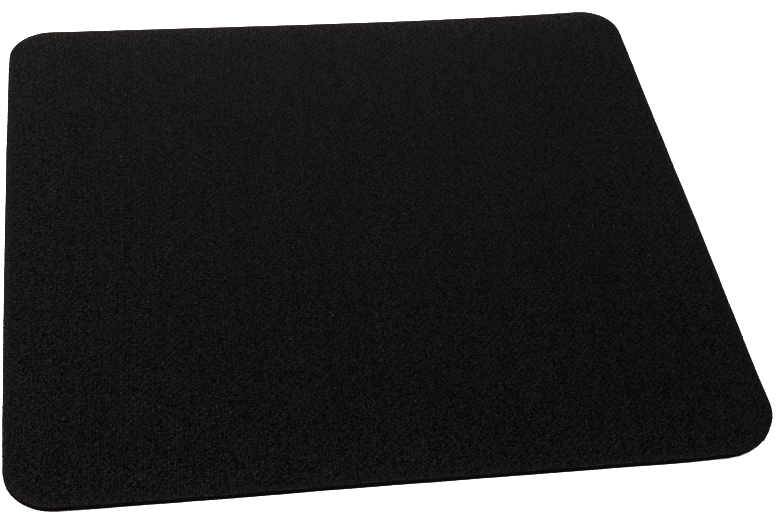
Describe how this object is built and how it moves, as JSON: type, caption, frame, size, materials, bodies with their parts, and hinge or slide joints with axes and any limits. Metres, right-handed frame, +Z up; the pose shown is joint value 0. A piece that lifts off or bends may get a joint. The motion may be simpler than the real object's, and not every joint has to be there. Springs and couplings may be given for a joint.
{
  "type": "mouse pad",
  "caption": "Flat rectangular mouse pad with rounded corners: knitted cloth bonded to a thin foam rubber base with a grippy underside.",
  "frame": {"origin": "middle of the underside, where the pad rests on the table", "axes": "+X along the long side to the user's right, +Y across the pad away from the user, +Z up through the laminate"},
  "size_m": [0.216, 0.203, 0.0024],
  "materials": {
    "foam_rubber": "matt, fine open pores on the cut edge, embossed underside",
    "adhesive": "thin dark film of hot-melt glue",
    "knitted_cloth": "matt black fine-gauge polyester knit with a faint sheen"
  },
  "bodies": {
    "root": {"foam_rubber_base": "foam_rubber", "adhesive_film": "adhesive", "knitted_cloth_top": "knitted_cloth"}
  },
  "joints": []
}
